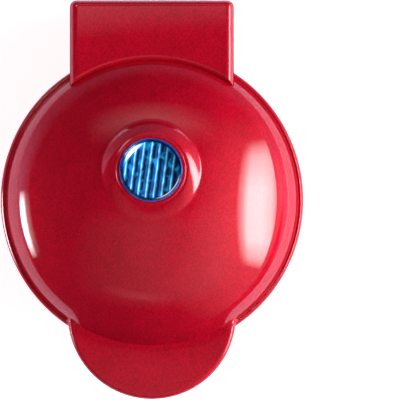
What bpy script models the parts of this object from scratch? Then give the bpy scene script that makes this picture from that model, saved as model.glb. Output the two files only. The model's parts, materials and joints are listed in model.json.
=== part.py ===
# Mini pizzelle maker: a round hinged cooker with a domed lid, relief plates and a lens for its lamp
# Metres, +Z up, +Y towards the hinge, origin on the table under the middle of the object

import math

import bmesh
import bpy
from mathutils import Matrix, Vector

# Overall sizes
lid_radius = 0.0630
grip_overhang = 0.0198
seam_height = 0.0375
seam_gap = 0.0006
wall = 0.0022
clearance = 0.0003
sink = 0.0005
overrun = 0.0020

# Lid dome, from the rim inwards
rim_band_height = 0.0047
rim_ledge_width = 0.0026
lip_width = 0.0015
lip_round = 0.0014
shoulder_run = 0.0061
shoulder_drop = 0.0075
cap_rise = 0.0190

# Lamp pedestal and lens
pedestal_y = 0.0123
pedestal_radius = 0.0152
pedestal_lift = 0.0005
pedestal_depth = 0.0085
pedestal_round = 0.0007
lens_radius = 0.0128
lens_crown = 0.0015
lens_edge = 0.0005
lens_flange_width = 0.0009
lens_flange_thickness = 0.0012
lens_rib_count = 7
lens_rib_pitch = 0.0031
lens_rib_height = 0.0011
lens_rib_lean = math.radians(7)
holder_height = 0.0045
holder_bore_radius = 0.0115
holder_floor = 0.0012
lamp_radius = 0.0028
lamp_length = 0.0110

# Front tabs
tab_radius = 0.0350
lid_tab_thickness = 0.0064
base_tab_setback = 0.0035
base_tab_thickness = 0.0056
edge_round = 0.0020

# Hinge block of the lid
block_half_width = 0.0340
block_height = 0.0107
block_corner = 0.0028
block_setback = 0.0004
skirt_drop = 0.0068
skirt_gap = 0.0010

# Hinge
hinge_inset = 0.0138
hinge_drop = 0.0015
opening_angle = math.radians(100)
pin_radius = 0.0020
pin_recess = 0.0006
bush_wall = 0.0011
knuckle_radius = 0.0062
knuckle_width = 0.0085
lid_boss_radius = 0.0048
lid_boss_depth = 0.0010
lid_rib_width = 0.0027
stop_clearance = 0.0006

# Base
bowl_round = 0.0225
base_band_height = 0.0047
foot_ring_height = 0.0035
base_setback = 0.0005
rear_block_setback = 0.0010
sweep_clearance = 0.0012

# Cooking plates, one made face up and the other its mirror image
plate_margin = 0.0070
plate_flange_width = 0.0016
plate_flange_thickness = 0.0018
plate_rim_width = 0.0027
plate_rim_slope = 0.0008
plate_recess = 0.0015
plate_thickness = 0.0049
frame_thickness = 0.0020
boss_radius = 0.0035
boss_inset = 0.0150
boss_count = 3
channel_depth = 0.0019

# Relief of the rosette, its radii as shares of the plate's
relief_height = 0.0010
relief_turn = math.radians(2)
petal_width_share = 0.62
arch_width_share = 0.78
scallop_width_share = 0.84
ridge_width = 0.0011
petal_count = 12
hub_share = 0.071
petal_inner_share = 0.111
petal_outer_share = 0.295
arch_inner_share = 0.321
arch_outer_share = 0.468
wave_share = 0.598
wave_swing_share = 0.046
wave_samples = 4
arch_samples = 4
scallop_samples = 5
scallop_inner_share = 0.723
scallop_outer_share = 0.893
diamond_share = 0.786
diamond_length_share = 0.082

# Heating
element_inset = 0.0240
element_tube = 0.0025
element_gap_angle = math.radians(50)
element_tail = 0.0090
pan_depth = 0.0066
pan_floor_inset = 0.0105
pan_rim_inset = 0.0055
pan_lip_width = 0.0010
pan_sheet = 0.0006
pan_port_radius = 0.0100
thermostat_radius = 0.0085
thermostat_height = 0.0065
thermostat_blade = 0.0050
fuse_radius = 0.0018
fuse_length = 0.0120

# Ribs and posts
rib_width = 0.0020
rib_overlap = 0.0055
lid_rib_inset = 0.0120
base_rib_depth = 0.0100
rib_angles = [math.radians(a) for a in (20, 160, 225, 315)]
post_radius = 0.0032
post_height = 0.0110
front_post_inset = 0.0035
front_post_angles = [math.radians(a) for a in (-15, -165)]
front_foot_inset = 0.0050
front_foot_angles = [math.radians(a) for a in (-50, -130)]
rear_post_inset = 0.0075

# Bottom cover, screws and feet
cover_thickness = 0.0025
vent_count = 5
vent_length = 0.0160
vent_width = 0.0016
vent_pitch = 0.0045
foot_radius = 0.0055
foot_height = 0.0032
foot_plug_radius = 0.0021
foot_plug_height = 0.0026
foot_inset = 0.0115
screw_head_radius = 0.0028
screw_head_height = 0.0015
screw_shaft_radius = 0.0014
cover_screw_length = 0.0090
plate_screw_length = 0.0050

# Wiring and cord inlet
terminal_length = 0.0220
terminal_width = 0.0100
terminal_height = 0.0095
terminal_hole_radius = 0.0013
terminal_hole_pitch = 0.0070
lead_radius = 0.0010
inlet_bore_radius = 0.0026
inlet_neck_radius = 0.0038
inlet_flange_radius = 0.0049
inlet_flange_thickness = 0.0010

# Fineness of round forms
shell_steps = 48
inner_steps = 28
pan_steps = 20
tab_steps = 40
foot_steps = 16
small_steps = 10
cap_points = 4
arc_points = 4

# Places worked out from the sizes
reach = lid_radius + grip_overhang
lid_bottom = seam_height + seam_gap / 2
base_top = seam_height - seam_gap / 2
foot_of_shoulder = lid_radius - rim_ledge_width
shoulder_base = lid_bottom + rim_band_height
cap_edge = foot_of_shoulder - shoulder_run
cap_base = shoulder_base + shoulder_drop
apex = cap_base + cap_rise
pedestal_top = apex + pedestal_lift
block_top = lid_bottom + block_height
block_front_radius = foot_of_shoulder - block_setback
skirt_bottom = lid_bottom - skirt_drop
skirt_front_radius = lid_radius + skirt_gap
hinge_y = reach - hinge_inset
hinge_z = seam_height - hinge_drop
knuckle_outer = block_half_width - wall - lid_boss_depth - clearance
knuckle_inner = knuckle_outer - knuckle_width
bush_bore = pin_radius + clearance
bush_radius = bush_bore + bush_wall
plate_radius = lid_radius - plate_margin
boss_circle = plate_radius - boss_inset
element_radius = plate_radius - element_inset
pan_floor_radius = plate_radius - pan_floor_inset
pan_rim_radius = plate_radius - pan_rim_inset
rib_inner = pan_floor_radius - rib_overlap
lid_rib_outer = lid_radius - lid_rib_inset
hub_radius = plate_radius * hub_share
petal_inner = plate_radius * petal_inner_share
petal_outer = plate_radius * petal_outer_share
arch_inner = plate_radius * arch_inner_share
arch_outer = plate_radius * arch_outer_share
wave_radius = plate_radius * wave_share
wave_swing = plate_radius * wave_swing_share
scallop_inner = plate_radius * scallop_inner_share
scallop_outer = plate_radius * scallop_outer_share
diamond_radius = plate_radius * diamond_share
diamond_length = plate_radius * diamond_length_share
plate_floor = base_top - plate_recess
plate_back = base_top - plate_thickness
plate_flange_radius = plate_radius + plate_flange_width
pan_floor = plate_back - pan_depth
rib_top = pan_floor - clearance
cover_bottom = foot_ring_height
cover_top = cover_bottom + cover_thickness
inlet_height = cover_top + inlet_flange_radius + clearance
bowl_radius = lid_radius - base_setback
bowl_core_radius = bowl_radius - bowl_round
bowl_shoulder = base_top - base_band_height
front_post_circle = bowl_core_radius - front_post_inset
front_foot_circle = bowl_core_radius - front_foot_inset
rear_face = reach - rear_block_setback


# Scene helpers
def clear_scene():
    for obj in list(bpy.data.objects):
        bpy.data.objects.remove(obj, do_unlink=True)
    for collection in list(bpy.data.collections):
        bpy.data.collections.remove(collection)


def new_collection(name):
    collection = bpy.data.collections.new(name)
    bpy.context.scene.collection.children.link(collection)
    return collection


def new_material(name, colour, roughness, metallic=0.0, alpha=1.0):
    material = bpy.data.materials.new(name)
    material.use_nodes = True
    shader = material.node_tree.nodes["Principled BSDF"]
    shader.inputs["Base Color"].default_value = (*colour, 1.0)
    shader.inputs["Roughness"].default_value = roughness
    shader.inputs["Metallic"].default_value = metallic
    shader.inputs["Alpha"].default_value = alpha
    return material


clear_scene()
parts = new_collection("mini_pizzelle_maker")
cutters = new_collection("cutters")

candy_red = new_material("candy_red", (0.52, 0.008, 0.025), 0.22, 0.35)
lens_blue = new_material("lens_blue", (0.01, 0.13, 0.60), 0.08, 0.0, 0.8)
white_plastic = new_material("white_plastic", (0.80, 0.80, 0.78), 0.5)
lamp_glass = new_material("lamp_glass", (0.85, 0.55, 0.40), 0.1, 0.0, 0.6)
dark_coating = new_material("dark_coating", (0.035, 0.034, 0.033), 0.45, 0.1)
sheet_steel = new_material("sheet_steel", (0.62, 0.62, 0.62), 0.35, 1.0)
dark_steel = new_material("dark_steel", (0.16, 0.15, 0.15), 0.45, 1.0)
bright_steel = new_material("bright_steel", (0.70, 0.70, 0.71), 0.25, 1.0)
brass = new_material("brass", (0.72, 0.52, 0.22), 0.3, 1.0)
black_plastic = new_material("black_plastic", (0.02, 0.02, 0.022), 0.5)
black_rubber = new_material("black_rubber", (0.015, 0.015, 0.015), 0.8)
ceramic = new_material("ceramic", (0.82, 0.80, 0.74), 0.6)
lead_sleeve = new_material("lead_sleeve", (0.75, 0.70, 0.60), 0.8)


def add_object(name, mesh, collection, material=None):
    obj = bpy.data.objects.new(name, mesh)
    collection.objects.link(obj)
    if material:
        mesh.materials.clear()
        mesh.materials.append(material)
    return obj


def baked(obj):
    """Turns an object with modifiers, or a curve, into one plain welded mesh."""
    graph = bpy.context.evaluated_depsgraph_get()
    mesh = bpy.data.meshes.new_from_object(obj.evaluated_get(graph))
    shape = bmesh.new()
    shape.from_mesh(mesh)
    bmesh.ops.remove_doubles(shape, verts=shape.verts, dist=1e-6)
    shape.to_mesh(mesh)
    shape.free()
    result = bpy.data.objects.new(obj.name + "_mesh", mesh)
    obj.users_collection[0].objects.link(result)
    result.matrix_world = obj.matrix_world.copy()
    name = obj.name
    bpy.data.objects.remove(obj, do_unlink=True)
    result.name = name
    return result


def as_cutter(obj):
    obj.hide_render = True
    obj.display_type = "WIRE"
    return obj


def boolean(target, other, operation):
    modifier = target.modifiers.new(other.name, "BOOLEAN")
    modifier.operation = operation
    modifier.solver = "EXACT"
    modifier.object = as_cutter(other)
    return target


def join(target, *others):
    for other in others:
        boolean(target, other, "UNION")
    return target


def cut(target, *others):
    for other in others:
        boolean(target, other, "DIFFERENCE")
    return target


def finish_smooth(obj, angle=math.radians(35)):
    obj.data.shade_smooth()
    obj.data.set_sharp_from_angle(angle=angle)
    return obj


def revolve(name, profile, steps, collection, ring=False, material=None):
    """A profile of (radius, height), run down its outer side, turned about Z."""
    mesh = bpy.data.meshes.new(name)
    edges = [(i, i + 1) for i in range(len(profile) - 1)]
    if ring:
        edges.append((len(profile) - 1, 0))
    mesh.from_pydata([(r, 0, z) for r, z in profile], edges, [])
    obj = add_object(name, mesh, collection)
    screw = obj.modifiers.new("turn", "SCREW")
    screw.steps = steps
    screw.render_steps = steps
    screw.use_merge_vertices = True
    screw.merge_threshold = 1e-5
    screw.use_smooth_shade = True
    obj = baked(obj)
    if material:
        obj.data.materials.clear()
        obj.data.materials.append(material)
    return obj


def polar(radius, angle):
    return (radius * math.cos(angle), radius * math.sin(angle))


def arc(centre, radius, start, end, count):
    """Points on an arc, both ends included."""
    steps = [start + (end - start) * i / (count - 1) for i in range(count)]
    return [(centre[0] + radius * math.cos(a), centre[1] + radius * math.sin(a)) for a in steps]


def circle(centre, radius, count):
    return arc(centre, radius, 0, 2 * math.pi * (count - 1) / count, count)


def slab(name, outlines, bottom, top, collection, rounding=0.0, material=None):
    """Flat outlines filled and given a thickness, with its edges rounded if asked."""
    curve = bpy.data.curves.new(name, "CURVE")
    curve.dimensions = "2D"
    curve.fill_mode = "BOTH"
    curve.extrude = (top - bottom) / 2 - rounding
    curve.bevel_depth = rounding
    curve.offset = -rounding
    curve.bevel_resolution = 2
    for outline in outlines:
        spline = curve.splines.new("POLY")
        spline.points.add(len(outline) - 1)
        for point, (x, y) in zip(spline.points, outline):
            point.co = (x, y, 0, 1)
        spline.use_cyclic_u = True
    obj = bpy.data.objects.new(name, curve)
    collection.objects.link(obj)
    obj = baked(obj)
    if material:
        obj.data.materials.clear()
        obj.data.materials.append(material)
    return moved(obj, Matrix.Translation((0, 0, (top + bottom) / 2)))


def side_slab(name, outline, start, end, collection):
    """A flat outline in Y and Z, given its thickness along X."""
    obj = slab(name, [outline], 0, abs(end - start), collection)
    upright = Matrix(((0, 0, 1, min(start, end)), (1, 0, 0, 0), (0, 1, 0, 0), (0, 0, 0, 1)))
    return moved(obj, upright)


def tube(name, points, radius, collection, material):
    curve = bpy.data.curves.new(name, "CURVE")
    curve.dimensions = "3D"
    curve.bevel_depth = radius
    curve.bevel_resolution = 1
    curve.use_fill_caps = True
    spline = curve.splines.new("POLY")
    spline.points.add(len(points) - 1)
    for point, place in zip(spline.points, points):
        point.co = (*place, 1)
    obj = bpy.data.objects.new(name, curve)
    collection.objects.link(obj)
    obj = baked(obj)
    obj.data.materials.clear()
    obj.data.materials.append(material)
    return finish_smooth(obj)


def cylinder(name, radius, start, end, collection, material=None, steps=small_steps):
    """A round bar between two points."""
    start = Vector(start)
    span = Vector(end) - start
    mesh = bpy.data.meshes.new(name)
    shape = bmesh.new()
    bmesh.ops.create_cone(
        shape, cap_ends=True, segments=steps, radius1=radius, radius2=radius, depth=span.length
    )
    shape.to_mesh(mesh)
    shape.free()
    obj = add_object(name, mesh, collection, material)
    turn = Vector((0, 0, 1)).rotation_difference(span.normalized()).to_matrix().to_4x4()
    mesh.transform(Matrix.Translation(start + span / 2) @ turn)
    return finish_smooth(obj)


def box(name, low, high, collection, material=None):
    mesh = bpy.data.meshes.new(name)
    shape = bmesh.new()
    bmesh.ops.create_cube(shape, size=1)
    shape.to_mesh(mesh)
    shape.free()
    low = Vector(low)
    high = Vector(high)
    sides = Matrix.Diagonal((*(high - low), 1))
    mesh.transform(Matrix.Translation((low + high) / 2) @ sides)
    return add_object(name, mesh, collection, material)


def moved(obj, matrix):
    obj.data.transform(matrix)
    return obj


def turned(obj, angle):
    return moved(obj, Matrix.Rotation(angle, 4, "Z"))


def mirrored(obj, name):
    """The same solid on the other side of the seam between lid and base."""
    copy = obj.copy()
    copy.data = obj.data.copy()
    copy.name = name
    parts.objects.link(copy)
    flip = Matrix.Translation((0, 0, 2 * seam_height)) @ Matrix.Diagonal((1, 1, -1, 1))
    copy.data.transform(flip)
    copy.data.flip_normals()
    return copy


def screw(name, place, length):
    """A pan-head screw on the vertical through place, its head hanging under that point."""
    profile = [
        (0, length),
        (screw_shaft_radius, length),
        (screw_shaft_radius, 0),
        (screw_head_radius, 0),
        (screw_head_radius - screw_head_height / 3, -screw_head_height),
        (0, -screw_head_height),
    ]
    obj = revolve(name, profile, small_steps, parts, material=bright_steel)
    return finish_smooth(moved(obj, Matrix.Translation(place)))


# Lid shell: dome, tab, hinge block and lamp pedestal, all drawn in by one inset for the inside
def dome_profile(inset, bottom):
    """Half section of the dome: cap, shoulder, and outside only, the ledge and rounded rim."""
    cap_radius = (cap_edge**2 + cap_rise**2) / (2 * cap_rise)
    cap_centre = apex - cap_radius
    edge_angle = math.asin(cap_edge / cap_radius)
    chord_angle = math.atan2(shoulder_drop, shoulder_run)
    bend = chord_angle - edge_angle
    shoulder_radius = math.hypot(shoulder_run, shoulder_drop) / (2 * math.sin(bend))
    centre_r = cap_edge - shoulder_radius * math.sin(edge_angle)
    centre_z = cap_base - shoulder_radius * math.cos(edge_angle)
    foot_angle = edge_angle + 2 * bend
    points = []
    for i in range(cap_points):
        a = edge_angle * i / cap_points
        points.append(((cap_radius - inset) * math.sin(a), cap_centre + (cap_radius - inset) * math.cos(a)))
    for i in range(arc_points):
        a = edge_angle + (foot_angle - edge_angle) * i / (arc_points - 1)
        points.append(
            (
                centre_r + (shoulder_radius - inset) * math.sin(a),
                centre_z + (shoulder_radius - inset) * math.cos(a),
            )
        )
    if inset:
        points.append((lid_radius - inset, shoulder_base - inset))
        points.append((lid_radius - inset, bottom))
    else:
        crest = lid_radius - lip_width
        points.append(((foot_of_shoulder + crest) / 2, shoulder_base - sink))
        points.append((crest, shoulder_base - sink / 2))
        points.append((lid_radius - lip_width / 3, shoulder_base - sink / 2 - lip_round / 3))
        points.append((lid_radius, shoulder_base - sink / 2 - lip_round))
        points.append((lid_radius, bottom))
    points.append((0, bottom))
    return points


def block_outline(inset, front):
    """The hinge block seen from above, with its two rear corners rounded."""
    half = block_half_width - inset
    rear = reach - inset
    corner = max(block_corner - inset, sink)
    right = arc((half - corner, rear - corner), corner, 0, math.pi / 2, arc_points)
    left = arc((corner - half, rear - corner), corner, math.pi / 2, math.pi, arc_points)
    return [(half, front), *right, *left, (-half, front)]


def front_roll(name, inset):
    """Cutter that leaves the block's front edge rolled down to the shoulder, about the lid's axis."""
    near = block_front_radius - edge_round + inset
    low = block_top - edge_round - inset
    high = block_top + overrun
    edge = [(near, high), (near, low)]
    if not inset:
        roll = arc((block_front_radius, low), edge_round, math.pi / 2, math.pi, arc_points)
        edge = [(block_front_radius, high), *roll]
    return revolve(name, [(0, high), *edge, (0, low)], shell_steps, cutters)


def lid_form(name, inset, collection):
    """The lid as one solid, drawn in by the inset and run down past its openings if inset."""
    drop = overrun if inset else 0
    body = revolve(
        name, dome_profile(inset, lid_bottom - drop), shell_steps, collection
    )
    tab = slab(
        name + "_tab",
        [circle((0, tab_radius - reach), tab_radius - inset, tab_steps)],
        lid_bottom - (drop if inset else edge_round),
        lid_bottom + lid_tab_thickness - inset,
        cutters,
        0 if inset else edge_round,
    )
    if not inset:
        under = box(
            name + "_tab_trim",
            (-lid_radius, -reach - overrun, skirt_bottom),
            (lid_radius, 0, lid_bottom),
            cutters,
        )
        cut(tab, under)
    block = slab(
        name + "_block",
        [block_outline(inset, block_front_radius - lid_radius / 3)],
        skirt_bottom - edge_round - drop,
        block_top - inset,
        cutters,
        0 if inset else edge_round,
    )
    cut(block, front_roll(name + "_front", inset))
    if not inset:
        skirt_front = cylinder(
            name + "_skirt_front",
            skirt_front_radius,
            (0, 0, skirt_bottom - 2 * edge_round),
            (0, 0, lid_bottom),
            cutters,
            steps=shell_steps,
        )
        skirt_trim = box(
            name + "_skirt_trim",
            (-lid_radius, 0, skirt_bottom - 2 * edge_round),
            (lid_radius, reach + overrun, skirt_bottom),
            cutters,
        )
        cut(block, skirt_front, skirt_trim)
    top = pedestal_top - inset
    radius = pedestal_radius - inset * math.tan(math.pi / 8)
    soft = 0 if inset else pedestal_round
    profile = [
        (0, top),
        (radius - soft, top),
        (radius + soft / 3, top - soft / 3),
        (radius + soft, top - soft),
        (radius + pedestal_depth - inset, top - pedestal_depth + inset),
        (0, top - pedestal_depth + inset),
    ]
    if inset:
        profile = [profile[0], (radius, top), *profile[4:]]
    pedestal = revolve(name + "_pedestal", profile, inner_steps, cutters)
    moved(pedestal, Matrix.Translation((0, pedestal_y, 0)))
    join(body, tab, block, pedestal)
    return body


def hanger_outline():
    """A rib that hangs from the block's top to a round end about the hinge's axis."""
    top = block_top + overrun
    end = arc((hinge_y, hinge_z), lid_boss_radius, -math.pi, 0, 2 * arc_points)
    return [*end, (hinge_y + lid_boss_radius, top), (hinge_y - lid_boss_radius, top)]


def make_lid_shell():
    shell = lid_form("lid_shell", 0, parts)
    hollow = lid_form("lid_hollow", wall, cutters)
    hole = cylinder(
        "lens_hole",
        lens_radius + clearance,
        (0, pedestal_y, pedestal_top - wall - overrun),
        (0, pedestal_y, pedestal_top + overrun),
        cutters,
        steps=inner_steps,
    )
    join(hollow, hole)
    for n, angle in enumerate(rib_angles):
        rib = box(
            f"lid_support_{n}",
            (rib_inner, -rib_width / 2, 2 * seam_height - rib_top),
            (lid_rib_outer, rib_width / 2, apex),
            cutters,
        )
        cut(hollow, turned(rib, angle))
    for side in (-1, 1):
        boss = cylinder(
            f"lid_boss_{side}",
            lid_boss_radius,
            (side * (block_half_width + overrun), hinge_y, hinge_z),
            (side * (block_half_width - wall - lid_boss_depth), hinge_y, hinge_z),
            cutters,
            steps=2 * small_steps,
        )
        near = side * (knuckle_inner - clearance)
        far = side * (knuckle_inner - clearance - lid_rib_width)
        hanger = side_slab(f"lid_hanger_{side}", hanger_outline(), near, far, cutters)
        cut(hollow, boss, hanger)
        bore = cylinder(
            f"lid_pin_bore_{side}",
            bush_bore,
            (far - side * overrun, hinge_y, hinge_z),
            (side * (block_half_width + overrun), hinge_y, hinge_z),
            cutters,
        )
        join(hollow, bore)
    cut(shell, hollow)
    shell.data.materials.append(candy_red)
    return finish_smooth(shell)


# Lens, its holder and the lamp under it
def make_lens():
    seat = pedestal_top - wall - clearance
    top = pedestal_top + lens_edge
    under = seat - lens_flange_thickness
    crown_radius = (lens_radius**2 + lens_crown**2) / (2 * lens_crown)
    half = math.asin(lens_radius / crown_radius)
    points = []
    for i in range(arc_points + 1):
        a = half * i / (arc_points + 1)
        points.append((crown_radius * math.sin(a), top + lens_crown + crown_radius * (math.cos(a) - 1)))
    flange = lens_radius + lens_flange_width
    points += [
        (lens_radius, top),
        (lens_radius, seat),
        (flange, seat),
        (flange, under),
        (0, under),
    ]
    lens = revolve("indicator_lens", points, inner_steps, parts, material=lens_blue)
    moved(lens, Matrix.Translation((0, pedestal_y, 0)))
    for n in range(lens_rib_count):
        x = (n - (lens_rib_count - 1) / 2) * lens_rib_pitch
        half_length = math.sqrt((holder_bore_radius - lens_edge) ** 2 - (abs(x) + lens_rib_height) ** 2)
        rib = cylinder(
            f"lens_rib_{n}",
            lens_rib_height,
            (x, -half_length, under),
            (x, half_length, under),
            cutters,
            steps=4,
        )
        turned(rib, -lens_rib_lean)
        moved(rib, Matrix.Translation((0, pedestal_y, 0)))
        join(lens, rib)
    return finish_smooth(lens, math.radians(25))


def make_lens_holder():
    top = pedestal_top - wall - lens_flange_thickness - 2 * clearance
    bottom = top - holder_height
    outer = lens_radius + lens_flange_width + clearance
    profile = [
        (holder_bore_radius, top),
        (outer, top),
        (outer, bottom),
        (lamp_radius + 2 * clearance, bottom),
        (lamp_radius + 2 * clearance, bottom + holder_floor),
        (holder_bore_radius, bottom + holder_floor),
    ]
    holder = revolve("lens_holder", profile, inner_steps, parts, ring=True, material=white_plastic)
    moved(holder, Matrix.Translation((0, pedestal_y, 0)))
    lamp_top = top - lens_rib_height
    lamp = revolve(
        "indicator_lamp",
        [
            (0, lamp_top),
            (lamp_radius / 2, lamp_top - lamp_radius / 6),
            (lamp_radius, lamp_top - lamp_radius),
            (lamp_radius, lamp_top - lamp_length + sink),
            (lamp_radius - sink, lamp_top - lamp_length),
            (0, lamp_top - lamp_length),
        ],
        small_steps,
        parts,
        material=lamp_glass,
    )
    moved(lamp, Matrix.Translation((0, pedestal_y, 0)))
    return finish_smooth(holder), finish_smooth(lamp)


# Base shell: bowl, tab, rear block under the hinge, knuckles, ribs and posts
def bowl_profile(inset, bottom):
    """Half section of the bowl, a quarter ellipse under an upright band."""
    width = bowl_radius - bowl_core_radius
    depth = bowl_shoulder - foot_ring_height + sink
    last = math.asin((bowl_shoulder - foot_ring_height) / depth)
    top = base_top + (overrun if inset else 0)
    points = [(0, top), (bowl_radius - inset, top)]
    for i in range(2 * arc_points):
        a = last * i / (2 * arc_points - 1)
        radius = bowl_core_radius + width * math.cos(a) - inset
        points.append((radius, bowl_shoulder - depth * math.sin(a)))
    points.append((points[-1][0], bottom))
    points.append((0, bottom))
    return points


def rear_block_outline(inset, front):
    half = block_half_width - sink - inset
    rear = rear_face - inset
    corner = max(block_corner - inset, sink)
    right = arc((half - corner, rear - corner), corner, 0, math.pi / 2, arc_points)
    left = arc((corner - half, rear - corner), corner, math.pi / 2, math.pi, arc_points)
    return [(half, front), *right, *left, (-half, front)]


def base_form(name, inset, collection):
    """Bowl and rear block, both run on below the foot ring so that one cut trims them."""
    body = revolve(
        name,
        bowl_profile(inset, foot_ring_height - overrun),
        shell_steps,
        collection,
    )
    sweep = math.hypot(hinge_inset, block_top - hinge_z) + sweep_clearance - sink
    block = slab(
        name + "_block",
        [rear_block_outline(inset, bowl_core_radius / 2)],
        foot_ring_height - 2 * overrun,
        hinge_z - knuckle_radius - inset,
        cutters,
    )
    cradle = cylinder(
        name + "_cradle",
        sweep + inset,
        (-lid_radius, hinge_y, hinge_z),
        (lid_radius, hinge_y, hinge_z),
        cutters,
        steps=shell_steps,
    )
    cut(block, cradle)
    join(body, block)
    return body


def stop_depth():
    """How far under the axis the arms may reach before the opened block's lower edge meets them."""
    inner_rear = hinge_inset - wall
    lower = skirt_bottom - hinge_z
    return inner_rear * math.sin(opening_angle) - lower * math.cos(opening_angle) - stop_clearance


def arm_outline():
    """Arm from the bowl to its knuckle, as deep as the opened lid's stop allows."""
    low = hinge_z - stop_depth()
    front = bowl_radius - rim_band_height - 3 * wall
    knuckle = arc((hinge_y, hinge_z), knuckle_radius, -math.pi / 6, math.pi, 3 * arc_points)
    return [(front, low), (hinge_y, low), *knuckle, (front, hinge_z)]


def ribs_and_posts():
    """Solids that stay standing inside the bowl, each with the screw hole of a post, or none."""
    for n, angle in enumerate(rib_angles):
        rib = box(
            f"base_support_{n}",
            (rib_inner, -rib_width / 2, rib_top - base_rib_depth),
            (bowl_radius, rib_width / 2, rib_top),
            cutters,
        )
        yield turned(rib, angle), None
    bottom = cover_top + clearance
    for n, (x, y) in enumerate(post_places()):
        post = cylinder(f"post_{n}", post_radius, (x, y, bottom), (x, y, bottom + post_height), cutters)
        out = math.copysign(bowl_radius, x)
        low = (min(x, out), y - rib_width / 2, bottom)
        high = (max(x, out), y + rib_width / 2, bottom + post_height - sink)
        join(post, box(f"post_web_{n}", low, high, cutters))
        hole = cylinder(
            f"post_bore_{n}",
            screw_shaft_radius + clearance,
            (x, y, bottom - overrun),
            (x, y, bottom + post_height - overrun / 2),
            cutters,
        )
        yield post, hole


def make_base_shell():
    shell = base_form("base_shell", 0, parts)
    tab = slab(
        "base_tab",
        [circle((0, tab_radius - reach), tab_radius - base_tab_setback, tab_steps)],
        base_top - base_tab_thickness,
        base_top - sink,
        cutters,
        edge_round - sink,
    )
    join(shell, tab)
    for side in (-1, 1):
        join(
            shell,
            side_slab(f"arm_{side}", arm_outline(), side * knuckle_inner, side * knuckle_outer, cutters),
        )
    trim = box("base_trim", (-reach, -reach, -reach), (reach, reach, foot_ring_height), cutters)
    hollow = base_form("base_hollow", wall, cutters)
    for solid, hole in ribs_and_posts():
        cut(hollow, solid)
        if hole:
            join(hollow, hole)
    for side in (-1, 1):
        bore = cylinder(
            f"knuckle_bore_{side}",
            bush_radius + clearance,
            (side * (knuckle_inner - overrun), hinge_y, hinge_z),
            (side * (knuckle_outer + overrun), hinge_y, hinge_z),
            cutters,
            steps=2 * small_steps,
        )
        join(hollow, bore)
    inlet = cylinder(
        "inlet_hole",
        inlet_neck_radius + clearance,
        (0, rear_face - wall - overrun, inlet_height),
        (0, rear_face + overrun, inlet_height),
        cutters,
        steps=2 * small_steps,
    )
    join(hollow, inlet)
    cut(shell, trim, hollow)
    shell.data.materials.append(candy_red)
    return finish_smooth(shell)


def post_places():
    front = [polar(front_post_circle, a) for a in front_post_angles]
    side = block_half_width - rear_post_inset
    back = rear_face - rear_post_inset
    return [*front, (side, back), (-side, back)]


# Frames that hold the plates at the seam
def make_base_frame():
    outer = bowl_radius - wall - clearance
    inner = plate_radius + clearance
    profile = [
        (inner, base_top),
        (outer, base_top),
        (outer, base_top - frame_thickness),
        (inner, base_top - frame_thickness),
    ]
    frame = revolve("base_frame", profile, shell_steps, parts, ring=True, material=candy_red)
    return finish_smooth(frame)


def make_lid_frame():
    """Ring round the upper plate, with a tongue that closes the tab from below."""
    outer = lid_radius - wall - clearance
    inner = plate_radius + clearance
    top = lid_bottom + frame_thickness
    frame = revolve(
        "lid_frame", [(0, top), (outer, top), (outer, lid_bottom), (0, lid_bottom)], shell_steps, parts
    )
    tongue = slab(
        "frame_tongue",
        [circle((0, tab_radius - reach), tab_radius - wall - clearance, tab_steps)],
        lid_bottom,
        top,
        cutters,
    )
    hole = cylinder(
        "frame_hole",
        inner,
        (0, 0, lid_bottom - overrun),
        (0, 0, top + overrun),
        cutters,
        steps=shell_steps,
    )
    join(frame, tongue)
    cut(frame, hole)
    frame.data.materials.append(candy_red)
    return finish_smooth(frame)


# Cooking plate with its rosette
def band(centreline, width, closed=False):
    """An outline of even width that follows a centreline, as one loop, or two if it closes."""
    left = []
    right = []
    last = len(centreline) - 1
    for i, (x, y) in enumerate(centreline):
        before = centreline[(i - 1) % (last + 1)] if closed or i else centreline[0]
        after = centreline[(i + 1) % (last + 1)] if closed or i < last else centreline[last]
        direction = Vector((after[0] - before[0], after[1] - before[1])).normalized()
        offset = Vector((-direction.y, direction.x)) * width / 2
        left.append((x + offset.x, y + offset.y))
        right.append((x - offset.x, y - offset.y))
    return [left, right[::-1]] if closed else [left + right[::-1]]


def petal(angle):
    """A teardrop with its point towards the middle."""
    half = math.pi / petal_count * petal_width_share
    middle = petal_inner + (petal_outer - petal_inner) * 2 / 3
    right = [polar(middle, angle - half), polar(petal_outer, angle - half / 3)]
    left = [polar(petal_outer, angle + half / 3), polar(middle, angle + half)]
    return [polar(petal_inner, angle), *right, *left]


def arch(angle, inner, outer, share, count):
    """A round-headed arch as a centreline, open towards the middle."""
    half = math.pi / petal_count * share
    points = []
    for i in range(count):
        t = math.pi * i / (count - 1)
        points.append(polar(inner + (outer - inner) * math.sin(t), angle - half * math.cos(t)))
    return points


def relief_outlines():
    pitch = 2 * math.pi / petal_count
    outlines = [circle((0, 0), hub_radius, small_steps)]
    for n in range(petal_count):
        outlines.append(petal(n * pitch))
        between = (n + 0.5) * pitch
        outlines += band(arch(between, arch_inner, arch_outer, arch_width_share, arch_samples), ridge_width)
        scallop = arch(n * pitch, scallop_inner, scallop_outer, scallop_width_share, scallop_samples)
        outlines += band(scallop, ridge_width)
        half = diamond_length / 2
        outlines.append(
            [
                polar(diamond_radius - half, n * pitch),
                polar(diamond_radius + half, n * pitch - half / diamond_radius),
                polar(diamond_radius + half, n * pitch + half / diamond_radius),
            ]
        )
    wave = []
    for i in range(petal_count * wave_samples):
        a = pitch * i / wave_samples
        wave.append(polar(wave_radius + wave_swing * math.cos(petal_count * a), a))
    return outlines + band(wave, ridge_width, closed=True)


def boss_places():
    angles = [math.pi / 2 + math.pi / 6 + 2 * math.pi * n / boss_count for n in range(boss_count)]
    return [polar(boss_circle, a) for a in angles]


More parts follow.
